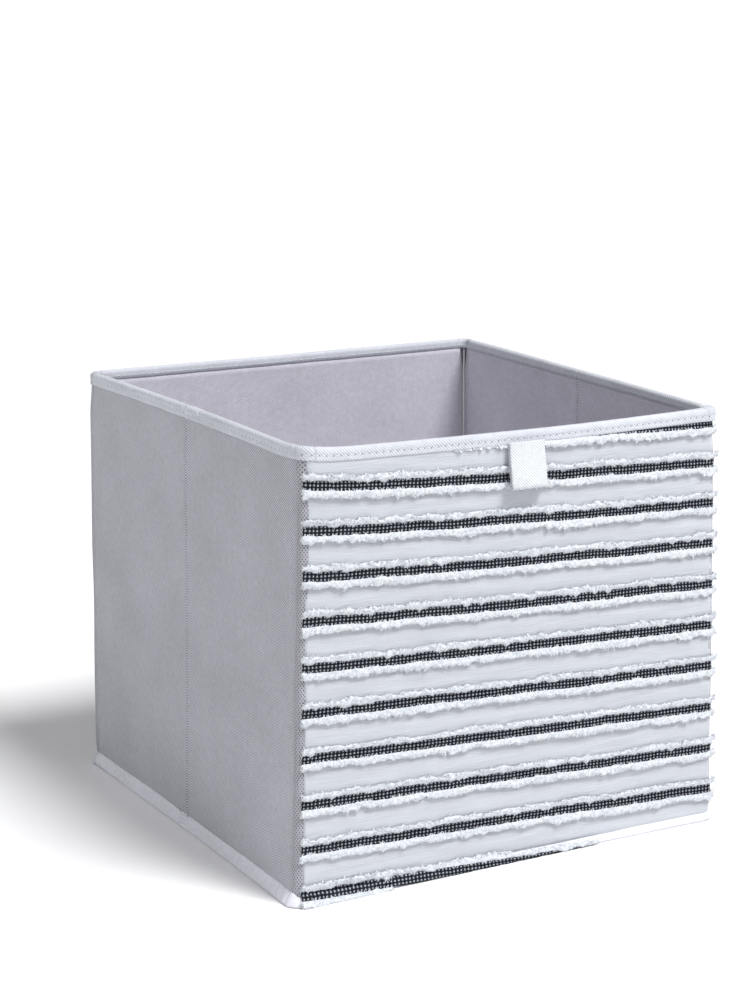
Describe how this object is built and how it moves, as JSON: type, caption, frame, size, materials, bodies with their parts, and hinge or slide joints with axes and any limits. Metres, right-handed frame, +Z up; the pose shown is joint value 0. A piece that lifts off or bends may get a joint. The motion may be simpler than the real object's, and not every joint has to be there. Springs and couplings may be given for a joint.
{
  "type": "fabric storage bin",
  "caption": "Open square fabric storage bin with stiff nonwoven walls that fold flat, a pale face with slanting check ribbons and frayed fringe, a taped rim, a pull tab and a loose base insert.",
  "frame": {"origin": "middle of the footprint on the floor", "axes": "+Z up, the decorated front faces -Y, +X is the bin's right seen from the front"},
  "size_m": [0.305, 0.3075, 0.278],
  "materials": {
    "nonwoven_wall": "matte",
    "nonwoven_lining": "matte",
    "nonwoven_tape": "matte",
    "cotton_face": "matte",
    "check_ribbon": "matte",
    "fringe": "matte",
    "thread": "matte",
    "crease_thread": "matte",
    "chipboard": "matte"
  },
  "bodies": {
    "back_wall": {"back_board": "chipboard", "back_outer": "nonwoven_wall", "back_lining": "nonwoven_lining", "back_rim_tape": "nonwoven_tape", "back_rim_stitches": "thread", "back_left_strip": "nonwoven_wall", "back_right_strip": "nonwoven_wall", "hem_tape": "nonwoven_tape", "hem_core": "nonwoven_wall", "hem_stitches": "thread", "bottom_cloth": "nonwoven_wall"},
    "left_rear": {"left_rear_board": "chipboard", "left_rear_outer": "nonwoven_wall", "left_rear_lining": "nonwoven_lining", "left_rear_rim_tape": "nonwoven_tape", "left_rear_rim_stitches": "thread", "left_crease_stitches": "crease_thread"},
    "left_front": {"left_front_board": "chipboard", "left_front_outer": "nonwoven_wall", "left_front_lining": "nonwoven_lining", "left_front_rim_tape": "nonwoven_tape", "left_front_rim_stitches": "thread"},
    "right_rear": {"right_rear_board": "chipboard", "right_rear_outer": "nonwoven_wall", "right_rear_lining": "nonwoven_lining", "right_rear_rim_tape": "nonwoven_tape", "right_rear_rim_stitches": "thread", "right_crease_stitches": "crease_thread"},
    "right_front": {"right_front_board": "chipboard", "right_front_outer": "nonwoven_wall", "right_front_lining": "nonwoven_lining", "right_front_rim_tape": "nonwoven_tape", "right_front_rim_stitches": "thread"},
    "front_wall": {"front_board": "chipboard", "front_face": "cotton_face", "front_lining": "nonwoven_lining", "front_rim_tape": "nonwoven_tape", "front_rim_stitches": "thread", "front_left_strip": "nonwoven_wall", "front_right_strip": "nonwoven_wall", "check_ribbons": "check_ribbon", "ribbon_fringe": "fringe"},
    "pull_tab": {"pull_tab": "nonwoven_tape", "tab_stitches": "thread"},
    "base_insert": {"insert_board": "chipboard", "insert_cover": "nonwoven_lining"}
  },
  "joints": [
    {"name": "left_rear_fold", "type": "hinge", "parent": "back_wall", "child": "left_rear", "pos_m": [-0.1475, 0.1475, 0], "axis": [0, 0, 1], "range_deg": [0, 88], "deforming": ["hem_tape", "hem_core", "hem_stitches", "bottom_cloth"]},
    {"name": "left_crease_fold", "type": "hinge", "parent": "left_rear", "child": "left_front", "pos_m": [-0.1525, 0, 0], "axis": [0, 0, 1], "range_deg": [-176, 0]},
    {"name": "front_left_corner_fold", "type": "hinge", "parent": "left_front", "child": "front_wall", "pos_m": [-0.1475, -0.1475, 0], "axis": [0, 0, 1], "range_deg": [0, 88]},
    {"name": "right_rear_fold", "type": "hinge", "parent": "back_wall", "child": "right_rear", "pos_m": [0.1475, 0.1475, 0], "axis": [0, 0, 1], "range_deg": [-88, 0]},
    {"name": "right_crease_fold", "type": "hinge", "parent": "right_rear", "child": "right_front", "pos_m": [0.1525, 0, 0], "axis": [0, 0, 1], "range_deg": [0, 176]},
    {"name": "insert_lift", "type": "slide", "parent": "back_wall", "child": "base_insert", "axis": [0, 0, 1], "range_m": [0, 0.32]},
    {"name": "tab_swing", "type": "hinge", "parent": "front_wall", "child": "pull_tab", "pos_m": [0.002, -0.1539, 0.2692], "axis": [-1, 0, 0], "range_deg": [0, 100]}
  ],
  "couplings": [
    {"joint": "left_crease_fold", "follows": "left_rear_fold", "ratio": -2},
    {"joint": "front_left_corner_fold", "follows": "left_rear_fold", "ratio": 1},
    {"joint": "right_rear_fold", "follows": "left_rear_fold", "ratio": -1},
    {"joint": "right_crease_fold", "follows": "left_rear_fold", "ratio": 2}
  ]
}
